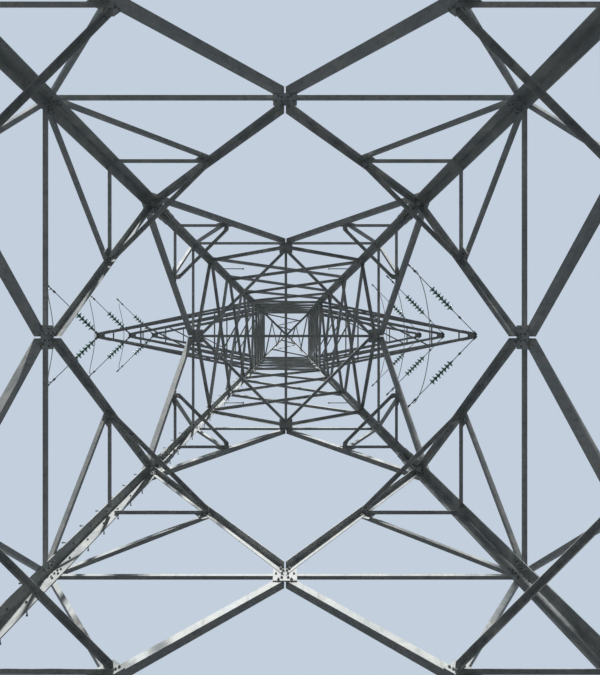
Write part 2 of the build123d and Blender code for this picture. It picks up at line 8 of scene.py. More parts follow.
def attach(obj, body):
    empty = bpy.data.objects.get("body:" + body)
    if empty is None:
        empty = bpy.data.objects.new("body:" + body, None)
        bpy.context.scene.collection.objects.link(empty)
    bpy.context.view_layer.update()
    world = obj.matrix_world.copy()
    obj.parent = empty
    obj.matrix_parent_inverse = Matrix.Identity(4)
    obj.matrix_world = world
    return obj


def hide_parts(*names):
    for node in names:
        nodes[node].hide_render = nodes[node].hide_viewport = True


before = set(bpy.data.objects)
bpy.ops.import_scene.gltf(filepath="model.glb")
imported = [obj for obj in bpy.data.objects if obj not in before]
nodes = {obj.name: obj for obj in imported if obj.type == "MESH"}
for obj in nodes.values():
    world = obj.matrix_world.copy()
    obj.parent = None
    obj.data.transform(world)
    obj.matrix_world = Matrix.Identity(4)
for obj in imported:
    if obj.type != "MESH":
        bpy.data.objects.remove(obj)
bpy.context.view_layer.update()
scene = bpy.context.scene
scene.view_settings.view_transform = "Standard"
print("frame loaded:", len(nodes), "CAD nodes")

tower = {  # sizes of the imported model, in metres
    "groundHalf": 4.16, "waistHalf": 1.2, "waist": 23.8, "top": 39.0, "postTop": 35.48,
    "armStep": 4.6, "armDepth": 2.4, "armReach": 6.5, "tipHalf": 0.085,
    "splice": 13.97, "lowerLeg": (0.18, 0.016), "upperLeg": (0.15, 0.012), "cageLeg": (0.12, 0.01),
    "belts": (5.58, 9.55, 16.43), "crosses": (17.86, 20.09, 22.2), "stayRod": 18.98,
}
lean = (tower["groundHalf"] - tower["waistHalf"]) / tower["waist"]
stretch = math.sqrt(1 + lean**2)  # length along a sloping face for each metre of height
levels = ("low", "middle", "top")
armHeights = [tower["waist"] + tower["armStep"] * i for i in range(3)]


# Helpers for meshes

def faceMatrix(origin, across, outward):
    # local X goes across a face, Y up it and Z out of it
    z = Vector(outward).normalized()
    x = Vector(across).normalized()
    matrix = Matrix((x, z.cross(x), z)).transposed().to_4x4()
    matrix.translation = Vector(origin)
    return matrix


def shift(x, y, z):
    return Matrix.Translation((x, y, z))


def turn(degrees, axis):
    return Matrix.Rotation(math.radians(degrees), 4, axis)


def toMesh(bm, name):
    mesh = bpy.data.meshes.new(name)
    bm.to_mesh(mesh)
    bm.free()
    return mesh


def gather(name, parts):
    # one mesh from copies of small meshes, each at its own place
    bm = bmesh.new()
    for mesh, matrix in parts:
        copy = mesh.copy()
        copy.transform(matrix)
        if matrix.determinant() < 0:
            copy.flip_normals()
        bm.from_mesh(copy)
        bpy.data.meshes.remove(copy)
    return toMesh(bm, name)


def lathe(name, profile, steps):
    # a closed outline of (along, radius) points spun round the X axis
    bm = bmesh.new()
    verts = [bm.verts.new((x, 0, r)) for x, r in profile]
    edges = [bm.edges.new(pair) for pair in zip(verts, verts[1:])]
    bmesh.ops.spin(bm, geom=verts + edges, angle=2 * math.pi, steps=steps, axis=(1, 0, 0), use_merge=True)
    bmesh.ops.remove_doubles(bm, verts=bm.verts, dist=1e-5)
    bmesh.ops.recalc_face_normals(bm, faces=bm.faces)
    return toMesh(bm, name)


def addCone(bm, matrix, radius, top, depth, sides):
    # a bar of few sides that stands on the matrix's XY plane
    bmesh.ops.create_cone(
        bm, cap_ends=True, segments=sides, radius1=radius, radius2=top, depth=depth,
        matrix=matrix @ shift(0, 0, depth / 2),
    )


def addBlock(bm, matrix, size, rounding=0):
    made = bmesh.ops.create_cube(bm, size=1, matrix=matrix @ Matrix.Diagonal((*size, 1)))
    if rounding:
        edges = list({edge for vert in made["verts"] for edge in vert.link_edges})
        bmesh.ops.bevel(
            bm, geom=edges, offset=rounding, segments=2, affect="EDGES", profile=0.5, material=-1
        )


def addPiece(mesh, material, replaced=(), smooth=None):
    piece = bpy.data.objects.new(mesh.name, mesh)
    scene.collection.objects.link(piece)
    if smooth:
        mesh.shade_smooth()
        mesh.set_sharp_from_angle(angle=math.radians(smooth))
    mesh.materials.append(material)
    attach(piece, "root")
    if replaced:
        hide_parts(*replaced)


# Materials

def hexColor(text):
    # an sRGB hex value as linear light
    values = [int(text[i : i + 2], 16) / 255 for i in (1, 3, 5)]
    linear = [v / 12.92 if v <= 0.04045 else ((v + 0.055) / 1.055) ** 2.4 for v in values]
    return (*linear, 1)


def addNode(tree, kind, settings=None, links=None):
    # settings are sockets or properties by name; links are {socket: another node's output}
    node = tree.nodes.new(kind)
    for key, value in (settings or {}).items():
        if isinstance(key, str) and hasattr(node, key):
            setattr(node, key, value)
        else:
            node.inputs[key].default_value = value
    for key, output in (links or {}).items():
        tree.links.new(output, node.inputs[key])
    return node


def newMaterial(name):
    material = bpy.data.materials.new(name)
    material.use_nodes = True
    material.node_tree.nodes.clear()
    return material, material.node_tree


def mm(size):
    # texture scale for a pattern of that size in millimetres
    return 1000 / size


galvanisedLook = {
    # hot-dip zinc, dulled by weather: soft crystals, pale carbonate bloom and rain streaks
    "zinc": "#9ca1a0", "bloom": "#c4c6c1", "grime": "#676c6a",
    "crystal": 45,  # mm; real ones are 5 to 20 mm and would not show
    "bloomSize": 420, "streakWidth": 60, "streakLength": 900, "grain": 6,
    "crystalTones": (0.9, 1.08), "bloomRange": (0.42, 0.68),
    "streakRange": (0.5, 0.78), "grimeShare": 0.5,
    "metallic": 0.1, "specular": 0.25, "rough": (0.5, 0.72), "bump": 0.08, "bumpDepth": 0.002,
}


def galvanisedSteel(name, changes=None):
    look = {**galvanisedLook, **(changes or {})}
    material, tree = newMaterial(name)
    place = addNode(tree, "ShaderNodeTexCoord").outputs["Object"]
    crystals = addNode(
        tree, "ShaderNodeTexVoronoi", {"Scale": mm(look["crystal"]), "Randomness": 1}, {"Vector": place}
    )
    dark, pale = look["crystalTones"]
    crystalTone = addNode(
        tree, "ShaderNodeMapRange", {"To Min": dark, "To Max": pale}, {"Value": crystals.outputs["Color"]}
    )
    blotches = addNode(
        tree, "ShaderNodeTexNoise",
        {"Scale": mm(look["bloomSize"]), "Detail": 5, "Roughness": 0.6}, {"Vector": place},
    )
    low, high = look["bloomRange"]
    bloomShare = addNode(
        tree, "ShaderNodeMapRange", {"From Min": low, "From Max": high}, {"Value": blotches.outputs["Fac"]}
    )
    stretched = addNode(
        tree, "ShaderNodeMapping",
        {"Scale": (mm(look["streakWidth"]), mm(look["streakWidth"]), mm(look["streakLength"]))},
        {"Vector": place},
    )
    streaks = addNode(
        tree, "ShaderNodeTexNoise", {"Scale": 1, "Detail": 4, "Roughness": 0.55},
        {"Vector": stretched.outputs["Vector"]},
    )
    low, high = look["streakRange"]
    streakShare = addNode(
        tree, "ShaderNodeMapRange", {"From Min": low, "From Max": high, "To Max": look["grimeShare"]},
        {"Value": streaks.outputs["Fac"]},
    )
    bloomed = addNode(
        tree, "ShaderNodeMix",
        {"data_type": "RGBA", 6: hexColor(look["zinc"]), 7: hexColor(look["bloom"])},
        {0: bloomShare.outputs["Result"]},
    )
    streaked = addNode(
        tree, "ShaderNodeMix", {"data_type": "RGBA", 7: hexColor(look["grime"])},
        {0: streakShare.outputs["Result"], 6: bloomed.outputs[2]},
    )
    toned = addNode(
        tree, "ShaderNodeVectorMath", {"operation": "MULTIPLY"},
        {0: streaked.outputs[2], 1: crystalTone.outputs["Result"]},
    )
    grain = addNode(
        tree, "ShaderNodeTexNoise", {"Scale": mm(look["grain"]), "Detail": 3}, {"Vector": place}
    )
    low, high = look["rough"]
    rough = addNode(
        tree, "ShaderNodeMapRange", {"To Min": low, "To Max": high},
        {"Value": bloomShare.outputs["Result"]},
    )
    bump = addNode(
        tree, "ShaderNodeBump", {"Strength": look["bump"], "Distance": look["bumpDepth"]},
        {"Height": grain.outputs["Fac"]},
    )
    surface = addNode(
        tree, "ShaderNodeBsdfPrincipled",
        {"Metallic": look["metallic"], "Specular IOR Level": look["specular"]},
        {
            "Base Color": toned.outputs[0],
            "Roughness": rough.outputs["Result"],
            "Normal": bump.outputs["Normal"],
        },
    )
    addNode(tree, "ShaderNodeOutputMaterial", None, {"Surface": surface.outputs["BSDF"]})
    return material


legSteel = galvanisedSteel("galvanised_leg_steel")
braceSteel = galvanisedSteel("galvanised_brace_steel", {"zinc": "#a6abaa", "bloom": "#cfd0cb"})
armSteel = galvanisedSteel("galvanised_arm_steel", {"zinc": "#9a9f9f", "bloomSize": 300})
boltSteel = galvanisedSteel(
    "galvanised_bolt_steel",
    {"zinc": "#7d8180", "bloom": "#9a9c97", "crystal": 12, "bloomSize": 80, "metallic": 0.5},
)
forgedSteel = galvanisedSteel(
    "galvanised_forged_fittings",
    {"zinc": "#6f7473", "bloom": "#8d908d", "crystal": 20, "bloomSize": 120, "streakLength": 200},
)


glassLook = {
    "color": "#5f9a80", "ior": 1.52, "transmission": 0.55,
    "dustSize": 70, "dustRange": (0.4, 0.8), "rough": (0.04, 0.22),
}


def toughenedGlass(name):
    # pressed green soda-lime glass: clear and glossy, with a thin film of dust
    material, tree = newMaterial(name)
    place = addNode(tree, "ShaderNodeTexCoord").outputs["Object"]
    dust = addNode(
        tree, "ShaderNodeTexNoise", {"Scale": mm(glassLook["dustSize"]), "Detail": 4}, {"Vector": place}
    )
    low, high = glassLook["dustRange"]
    clean, dusty = glassLook["rough"]
    film = addNode(
        tree, "ShaderNodeMapRange", {"From Min": low, "From Max": high, "To Min": clean, "To Max": dusty},
        {"Value": dust.outputs["Fac"]},
    )
    surface = addNode(
        tree, "ShaderNodeBsdfPrincipled",
        {
            "Base Color": hexColor(glassLook["color"]),
            "IOR": glassLook["ior"],
            "Transmission Weight": glassLook["transmission"],
        },
        {"Roughness": film.outputs["Result"]},
    )
    addNode(tree, "ShaderNodeOutputMaterial", None, {"Surface": surface.outputs["BSDF"]})
    return material


cableLook = {
    "dark": "#7b7d7c", "pale": "#9fa09d", "stainSize": 150, "stainRange": (0.35, 0.7),
    "strand": 18, "bump": 0.4, "bumpDepth": 0.003, "metallic": 0.8, "rough": 0.5,
}


def strandedAluminium(name):
    # hard-drawn aluminium wires laid in a spiral, dulled to grey
    material, tree = newMaterial(name)
    place = addNode(tree, "ShaderNodeTexCoord").outputs["Object"]
    stain = addNode(
        tree, "ShaderNodeTexNoise", {"Scale": mm(cableLook["stainSize"]), "Detail": 4}, {"Vector": place}
    )
    low, high = cableLook["stainRange"]
    share = addNode(
        tree, "ShaderNodeMapRange", {"From Min": low, "From Max": high}, {"Value": stain.outputs["Fac"]}
    )
    color = addNode(
        tree, "ShaderNodeMix",
        {"data_type": "RGBA", 6: hexColor(cableLook["dark"]), 7: hexColor(cableLook["pale"])},
        {0: share.outputs["Result"]},
    )
    lay = addNode(
        tree, "ShaderNodeTexWave", {"Scale": mm(cableLook["strand"]), "bands_direction": "DIAGONAL"},
        {"Vector": place},
    )
    bump = addNode(
        tree, "ShaderNodeBump", {"Strength": cableLook["bump"], "Distance": cableLook["bumpDepth"]},
        {"Height": lay.outputs["Fac"]},
    )
    surface = addNode(
        tree, "ShaderNodeBsdfPrincipled",
        {"Metallic": cableLook["metallic"], "Roughness": cableLook["rough"]},
        {"Base Color": color.outputs[2], "Normal": bump.outputs["Normal"]},
    )
    addNode(tree, "ShaderNodeOutputMaterial", None, {"Surface": surface.outputs["BSDF"]})
    return material


discGlass = toughenedGlass("green_toughened_glass")
cableAluminium = strandedAluminium("stranded_aluminium")

nodeFinish = {
    "leg_": legSteel, "cage_posts": legSteel, "climbing": legSteel,
    "lower_": braceSteel, "middle_": braceSteel, "upper_": braceSteel, "cage_bracing": braceSteel,
    "portal_": braceSteel, "corner_": braceSteel, "diaphragm": braceSteel,
    "crossarm": armSteel, "peak": armSteel,
    "line_": forgedSteel, "insulators": discGlass, "jumper": cableAluminium,
}
for name, node in nodes.items():
    finish = [nodeFinish[start] for start in nodeFinish if name.startswith(start)][0]
    node.data.materials.clear()
    node.data.materials.append(finish)
print("materials on", len(nodes), "nodes")


# Camera: at chest height near the tower's axis, looking straight up

camera = {"place": (0.025, -0.035, 1.42), "lens": 39.0, "shiftX": 0.0217, "shiftY": -0.005}
cameraData = bpy.data.cameras.new("camera")
cameraData.sensor_fit = "HORIZONTAL"
cameraData.sensor_width = 36
cameraData.lens = camera["lens"]
cameraData.shift_x = camera["shiftX"]
cameraData.shift_y = camera["shiftY"]
cameraData.clip_end = 500
cameraPiece = bpy.data.objects.new("camera", cameraData)
x, y, z = camera["place"]
cameraPiece.matrix_world = Matrix(((1, 0, 0, x), (0, -1, 0, y), (0, 0, -1, z), (0, 0, 0, 1)))
scene.collection.objects.link(cameraPiece)
scene.camera = cameraPiece


# Light: a soft sun from the front, a pale sky and a pale floor

light = {
    "sun": 4.2, "sunFrom": (-0.075, -1.0, 0.72), "sunWidth": 2,  # degrees
    "sky": 0.14, "ground": 0.02, "blend": 0.3, "skyLit": "#e8eef6", "skySeen": "#c3cfdd",
    "floorLit": "#2f3236", "floorSeen": "#d5dae0", "floorHalf": 1500, "floorDrop": 0.002,
}


def seenRays(tree):
    # 1 where the camera, a gloss or glass looks at the backdrop, 0 where it lights the tower
    path = addNode(tree, "ShaderNodeLightPath")
    seen = path.outputs["Is Camera Ray"]
    for ray in ("Is Glossy Ray", "Is Transmission Ray"):
        links = {0: seen, 1: path.outputs[ray]}
        seen = addNode(tree, "ShaderNodeMath", {"operation": "MAXIMUM"}, links).outputs[0]
    return seen


sunData = bpy.data.lights.new("sun", "SUN")
sunData.energy = light["sun"]
sunData.angle = math.radians(light["sunWidth"])
sun = bpy.data.objects.new("sun", sunData)
sun.rotation_euler = Vector(light["sunFrom"]).to_track_quat("Z", "Y").to_euler()
scene.collection.objects.link(sun)

world = bpy.data.worlds.new("studio")
world.use_nodes = True
scene.world = world
tree = world.node_tree
tree.nodes.clear()
way = addNode(tree, "ShaderNodeTexCoord").outputs["Generated"]
height = addNode(tree, "ShaderNodeSeparateXYZ", None, {"Vector": way}).outputs["Z"]
above = addNode(
    tree, "ShaderNodeMapRange",
    {
        "From Min": -light["blend"], "From Max": light["blend"],
        "To Min": light["ground"], "To Max": light["sky"],
    },
    {"Value": height},
)
seen = seenRays(tree)
lit = addNode(
    tree, "ShaderNodeBackground", {"Color": hexColor(light["skyLit"])},
    {"Strength": above.outputs["Result"]},
)
shown = addNode(tree, "ShaderNodeBackground", {"Color": hexColor(light["skySeen"]), "Strength": 1})
both = addNode(
    tree, "ShaderNodeMixShader", None,
    {0: seen, 1: lit.outputs[0], 2: shown.outputs[0]},
)
addNode(tree, "ShaderNodeOutputWorld", None, {"Surface": both.outputs[0]})

floorMaterial, tree = newMaterial("studio_floor")
floorColor = addNode(
    tree, "ShaderNodeMix",
    {"data_type": "RGBA", 6: hexColor(light["floorLit"]), 7: hexColor(light["floorSeen"])},
    {0: seenRays(tree)},
)
floorSurface = addNode(
    tree, "ShaderNodeBsdfPrincipled", {"Roughness": 0.9}, {"Base Color": floorColor.outputs[2]}
)
addNode(tree, "ShaderNodeOutputMaterial", None, {"Surface": floorSurface.outputs["BSDF"]})
bm = bmesh.new()
bmesh.ops.create_grid(
    bm, x_segments=1, y_segments=1, size=light["floorHalf"], matrix=shift(0, 0, -light["floorDrop"])
)
floor = bpy.data.objects.new("floor", toMesh(bm, "floor"))
floor.data.materials.append(floorMaterial)
scene.collection.objects.link(floor)
print("camera, light and floor ready")


# Jumper cables between the two clamps of each arm

jumper = {
    "radius": 0.014,
    "left": {
        "top": (-8.01812, -1.58812, -0.28488),
        "length": 3.94,
        "steps": (
            (0, 0, 0), (0, 0, -0.14), (0.025, 0.06, -0.29), (0.075, 0.19, -0.43),
            (0.15, 0.39, -0.55), (0.24, 0.66, -0.65), (0.32, 1.0, -0.72), (0.38, 1.39, -0.75),
        ),
    },
    "right": {
        "top": (4.29061, -2.27939, -0.35320),
        "length": 5.36,
        "steps": (
            (0, 0, 0), (0, 0, -0.15), (0.02, 0.055, -0.3), (0.06, 0.17, -0.44),
            (0.12, 0.35, -0.56), (0.19, 0.6, -0.66), (0.26, 0.92, -0.735), (0.32, 1.29, -0.785),
            (0.37, 1.685, -0.815), (0.4, 2.085, -0.83),
        ),
    },
}


def jumperCable(level, side, armHeight):
    top = Vector(jumper[side]["top"]) + Vector((0, 0, armHeight))
    half = [top + Vector(step) for step in jumper[side]["steps"]]
    points = half + [Vector((p.x, -p.y, p.z)) for p in reversed(half)]
    data = bpy.data.curves.new("cable_" + level + "_" + side, "CURVE")
    data.dimensions = "3D"
    data.bevel_depth = jumper["radius"]
    data.bevel_resolution = 3
    data.resolution_u = 6
    data.use_fill_caps = True
    spline = data.splines.new("NURBS")
    spline.points.add(len(points) - 1)
    for point, place in zip(spline.points, points):
        point.co = (*place, 1)
    spline.order_u = 3
    spline.use_endpoint_u = True
    cable = bpy.data.objects.new(data.name, data)
    scene.collection.objects.link(cable)
    data.materials.append(cableAluminium)
    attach(cable, "root")
    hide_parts("jumper_" + level + "_" + side)


for level, armHeight in zip(levels, armHeights):
    for side in ("left", "right"):
        jumperCable(level, side, armHeight)
print("jumper cables made")


# Insulator strings: glass discs with iron caps and pins

string = {
    "turn": 45, "droop": 4, "spread": 0.07, "count": 7, "pitch": 0.146,
    "link": {"left": 0.12, "right": 1.1}, "lug": 0.15, "lugLevel": -0.03, "clamp": 1.13,
    "glass": (  # along the string and out from its middle, in mm: domed back, rim, then ribs
        (52, 40), (60, 52), (66, 70), (75, 92), (85, 112), (92, 123), (97, 127), (101, 126),
        (102, 121), (98, 113), (106, 107), (108, 101), (102, 96), (93, 90), (104, 84), (108, 79),
        (103, 74), (90, 68), (100, 62), (104, 57), (98, 52), (84, 46), (80, 40),
    ),
    "cap": (
        (0, 0), (0, 22), (6, 27), (14, 29), (20, 36), (34, 43), (60, 47), (66, 45), (66, 38), (64, 0),
    ),
    "pin": (
        (78, 0), (78, 22), (88, 22), (96, 13), (132, 12), (134, 18), (144, 18), (150, 12), (150, 0),
    ),
}


def stringMatrix(side, way, armHeight):
    # the place under an arm's tip where a string's straight run begins, X along the string
    tip = tower["armReach"] if side == "right" else -tower["armReach"]
    lug = shift(tip, -way * string["spread"], armHeight + string["lugLevel"])
    lug = lug @ turn(180 + way * string["turn"], "Z")
    return lug, lug @ shift(string["lug"] / 2, 0, 0) @ turn(string["droop"], "Y")


def scaled(profile):
    return [(x / 1000, r / 1000) for x, r in profile]


glassProfile = scaled(string["glass"])
glassShell = lathe("glass", glassProfile + [glassProfile[0]], 32)
capShell = lathe("cap", scaled(string["cap"]), 20)
pinShell = lathe("pin", scaled(string["pin"]), 14)
for level, armHeight in zip(levels, armHeights):
    shells = []
    irons = []
    for side in ("left", "right"):
        for way in (-1, 1):
            start = stringMatrix(side, way, armHeight)[1] @ shift(string["link"][side], 0, 0)
            for i in range(string["count"]):
                place = start @ shift(i * string["pitch"], 0, 0)
                shells.append((glassShell, place))
                irons += [(capShell, place), (pinShell, place)]
    name = "insulators_" + level
    addPiece(gather("glass_discs_" + level, shells), discGlass, [name], 40)
    addPiece(gather("disc_caps_" + level, irons), forgedSteel, [name], 40)
print("insulator strings made")


# Bolts: a hexagon head on one side of a joint, a nut on the thread's end on the other

bolt = {
    "washer": 0.003, "sides": 12,
    "sizes": {  # across flats, head, nut, washer radius and thread radius, in metres
        "M12": (0.018, 0.0075, 0.010, 0.012, 0.006),
        "M16": (0.024, 0.010, 0.013, 0.015, 0.008),
        "M20": (0.030, 0.0125, 0.016, 0.0185, 0.010),
        "M24": (0.036, 0.015, 0.019, 0.022, 0.012),
        "M36": (0.055, 0.0225, 0.029, 0.034, 0.018),
    },
}


def hexEnd(name, flats, depth, washer, thread):
    bm = bmesh.new()
    addCone(bm, Matrix(), washer, washer, bolt["washer"], bolt["sides"])
    addCone(bm, shift(0, 0, bolt["washer"]), flats / math.sqrt(3), flats / math.sqrt(3), depth, 6)
    if thread:
        addCone(bm, shift(0, 0, bolt["washer"] + depth), thread, thread * 0.8, thread * 0.9, 8)
    return toMesh(bm, name)


boltHeads = {}
boltNuts = {}
for size, (flats, head, nut, washer, thread) in bolt["sizes"].items():
    boltHeads[size] = hexEnd(size + "_head", flats, head, washer, 0)
    boltNuts[size] = hexEnd(size + "_nut", flats, nut, washer, thread)


def boltParts(matrix, bolts):
    # bolts as (size, across, up, where the head sits, where the nut sits)
    parts = []
    for i, (size, u, v, high, low) in enumerate(bolts):
        turned = turn(i * 37 % 60, "Z")  # neighbours' flats don't line up
        parts.append((boltHeads[size], matrix @ shift(u, v, high) @ turned))
        parts.append((boltNuts[size], matrix @ shift(u, v, low) @ turn(180, "X") @ turned))
    return parts


def roundTower(matrix, bolts):
    parts = []
    for quarter in range(4):
        parts += boltParts(turn(90 * quarter, "Z") @ matrix, bolts)
    return parts


def bothSides(bolts):
    return bolts + [(size, -u, v, high, low) for size, u, v, high, low in bolts]


bodyFace = faceMatrix((0, -tower["groundHalf"], 0), (1, 0, 0), (0, -1, lean))
cageFace = faceMatrix((0, -tower["waistHalf"], 0), (1, 0, 0), (0, -1, 0))
bracing = {  # thicknesses of the angles that the bolts go through, in metres
    "main": 0.008, "small": 0.006, "belt": 0.005,
    "panels": (  # joint heights, side of the main braces, leg, and bolts from the apex
        {
            "apex": 5.555, "foot": 0.52, "meeting": 5.5,
            "inside": True, "leg": "lowerLeg", "tip": (0.07, 0.14),
        },
        {
            "apex": 9.495, "foot": 5.76, "meeting": 9.47,
            "inside": False, "leg": "lowerLeg", "tip": (0.06, 0.12),
        },
        {
            "apex": 9.575, "foot": 13.28, "meeting": 9.63,
            "inside": True, "leg": "lowerLeg", "tip": (0.045, 0.1),
        },
        {
            "apex": 16.375, "foot": 13.28, "meeting": 16.35,
            "inside": False, "leg": "upperLeg", "tip": (0.075, 0.12),
        },
    ),
    "kApex": 16.49, "kFoot": 17.77, "kTips": (0.03, 0.085), "kGaps": (0.103, 0.132),
    "crosses": ((17.95, 20.09), (20.09, 22.2), (22.2, 23.54)),
    "cageGap": 0.2, "levelRise": 0.033, "levelEnd": 0.037,
}
boltSteps = {  # metres along a bar from its joint, or across from the leg's outer edge
    "mainFoot": (0, 0.06), "node": (-0.12, -0.075, 0.075, 0.12), "level": (0.095, 0.135),
    "slope": (0.085, 0.125), "end": (0, 0.045), "beltMiddle": (0.037, 0.112),
    "mainGaps": (0.137, 0.162), "levelGap": 0.133, "thickLevelInset": 0.028, "thickWall": 0.014,
    "crossGaps": (0.028, 0.056), "cageGaps": (0.037,),
}


def onFace(across, height):
    return Vector((across, height * stretch))


def legPoint(height, flange):
    return onFace(lean * height - tower["groundHalf"] + flange / 2, height)


def cornerGap(place):
    # how far a place on a sloping face is from the left leg's outer edge
    return ((place.x + tower["groundHalf"]) * stretch - lean * place.y) / (stretch**2 + lean**2) ** 0.5


def atGap(start, end, gap):
    return start.lerp(end, (cornerGap(start) - gap) / (cornerGap(start) - cornerGap(end)))


def panelBolts(panel):
    flange, wall = tower[panel["leg"]]
    inside = panel["inside"]
    mainGrip = (0, -wall - bracing["main"]) if inside else (bracing["main"], -wall)
    levelGrip = (0, -wall - bracing["small"])
    slopeGrip = (bracing["small"], -wall)
    apex = onFace(0, panel["apex"])
    foot = legPoint(panel["foot"], flange)
    along = (foot - apex).normalized()
    node = (apex + foot) / 2
    meeting = legPoint(panel["meeting"], flange)
    slope = (meeting - node).normalized()
    level = legPoint((panel["apex"] + panel["foot"]) / 2, flange)
    bolts = [("M20", *(apex + along * step), *mainGrip) for step in panel["tip"]]
    if inside:
        bolts += [("M20", *atGap(apex, foot, gap), *mainGrip) for gap in boltSteps["mainGaps"]]
    else:
        footGrip = (bracing["main"], -tower["lowerLeg"][1])
        bolts += [("M20", *(foot - along * step), *footGrip) for step in boltSteps["mainFoot"]]
    bolts += [("M16", *(node + along * step), *mainGrip) for step in boltSteps["node"]]
    nodeGrip = (max(mainGrip[0], slopeGrip[0] if inside else 0), min(mainGrip[1], levelGrip[1]))
    bolts.append(("M16", *node, *nodeGrip))
    bolts += [("M16", node.x - step, node.y, *levelGrip) for step in boltSteps["level"]]
    bolts += [("M16", *(node + slope * step), *slopeGrip) for step in boltSteps["slope"]]
    bolts += [("M16", *(meeting - slope * step), *slopeGrip) for step in boltSteps["end"]]
    thick = wall > boltSteps["thickWall"]
    levelGap = flange - boltSteps["thickLevelInset"] if thick else boltSteps["levelGap"]
    bolts.append(("M16", *atGap(node, level, levelGap), *levelGrip))
    return bolts


def beltBolts(height, leg, covered):
    flange, wall = tower[leg]
    end = legPoint(height, flange)
    bolts = [("M16", end.x + step, end.y, bracing["belt"], -wall) for step in boltSteps["end"]]
    under = -wall - bracing["main"] if covered else -wall
    for step, low in zip(boltSteps["beltMiddle"], (under, -wall)):
        bolts.append(("M16", -step, end.y, bracing["belt"], low))
    return bolts


def crossBolts(bottom, top, gaps, wall):
    # one crossed panel: the brace that rises to the right is outside the legs
    near = (Vector((-top.x, top.y)) - bottom).normalized()
    far = (Vector((-bottom.x, bottom.y)) - top).normalized()
    laps = boltSteps["end"]
    outer = (bracing["small"], -wall)
    inner = (0, -wall - bracing["small"])
    share = bottom.x / (bottom.x + top.x)
    bolts = [("M16", 0, bottom.y + (top.y - bottom.y) * share, outer[0], inner[1])]
    bolts += [("M16", *(bottom + near * step), *outer) for step in laps]
    bolts += [("M16", -top.x - near.x * step, top.y - near.y * step, *outer) for step in laps]
    for gap in gaps:
        step = gap / far.x
        bolts.append(("M16", *(top + far * step), *inner))
        bolts.append(("M16", -bottom.x - far.x * step, bottom.y - far.y * step, *inner))
    return bolts


lowerPanels = bothSides([one for panel in bracing["panels"][:2] for one in panelBolts(panel)])
middlePanels = bothSides([one for panel in bracing["panels"][2:] for one in panelBolts(panel)])
belts = bothSides(
    beltBolts(tower["belts"][0], "lowerLeg", True)
    + beltBolts(tower["belts"][1], "lowerLeg", True)
    + beltBolts(tower["belts"][2], "upperLeg", False)
)
flange, wall = tower["upperLeg"]
kGrip = (0, -wall - bracing["small"])
kApex = onFace(0, bracing["kApex"])
kFoot = legPoint(bracing["kFoot"], flange)
kWay = (kFoot - kApex).normalized()
upper = [("M16", *(kApex + kWay * step), *kGrip) for step in bracing["kTips"]]
upper += [("M16", *atGap(kApex, kFoot, gap), *kGrip) for gap in bracing["kGaps"]]
upper = bothSides(upper)
for low, high in bracing["crosses"]:
    ends = (legPoint(low, flange), legPoint(high, flange))
    upper += crossBolts(*ends, boltSteps["crossGaps"], wall)

flange, wall = tower["cageLeg"]
cage = []
cageLevels = sorted(armHeights + [height + tower["armDepth"] for height in armHeights])
post = flange / 2 - tower["waistHalf"]
for low, high in zip(cageLevels, cageLevels[1:]):
    bottom = Vector((post, low + bracing["cageGap"]))
    top = Vector((post, high - bracing["cageGap"]))
    cage += crossBolts(bottom, top, boltSteps["cageGaps"], wall)
for height in cageLevels:
    place = (post + bracing["levelEnd"], height + bracing["levelRise"])
    cage += bothSides([("M16", *place, 0, -wall - bracing["small"])])

for name, parts in (
    ("bolts_lower_panels", roundTower(bodyFace, lowerPanels + belts)),
    ("bolts_middle_panels", roundTower(bodyFace, middlePanels)),
    ("bolts_upper_panels", roundTower(bodyFace, upper) + roundTower(cageFace, cage)),
):
    addPiece(gather(name, parts), boltSteel)
print("bolts on the faces made")


# Bolts on the arms, the peak, the diaphragm, the corner braces and the feet

arm = {
    "chord": 0.008, "web": 0.005, "plate": 0.01, "tipPlate": 0.014, "tipDepth": 0.12,
    "struts": (5.95, 5.01, 2.47), "rootGap": 0.03, "webOffset": 0.08, "webFoot": 0.056,
    "floorOffset": 0.065, "floorEdge": 0.044,
    "rootBolts": ((0.075, 0.14), (0.024, 0.058)), "rootTop": (0.065, 0.13),
    "tipBolts": (0.4, 0.31, 0.22, 0.13), "tipLevel": 0.045, "tipTop": (0.41, 0.34, 0.27, 0.2),
    "webEnd": 0.012, "floorEnd": 0.018, "tipFloor": ((0.15, 0.21), (-0.07, 0.07)),
    "post": (0.035, 0.082), "postLow": (0.022, 0.058), "postHigh": (2.345, 2.382), "bentPlate": 0.006,
}
run = Vector((tower["armReach"] - tower["waistHalf"], tower["waistHalf"] - tower["tipHalf"], 0))
armLength = run.length
run.normalize()
armSide = faceMatrix((tower["waistHalf"], -tower["waistHalf"], 0), run, (run.y, -run.x, 0))
armFloor = faceMatrix((0, 0, 0), (1, 0, 0), (0, 0, -1))
flipY = Matrix.Diagonal((1, -1, 1, 1))


def chordHeight(along):
    return tower["armDepth"] - (tower["armDepth"] - arm["tipDepth"]) / armLength * along


def armHalf(x):
    share = (x - tower["waistHalf"]) / (tower["armReach"] - tower["waistHalf"])
    return tower["waistHalf"] + (tower["tipHalf"] - tower["waistHalf"]) * share - arm["floorEdge"]


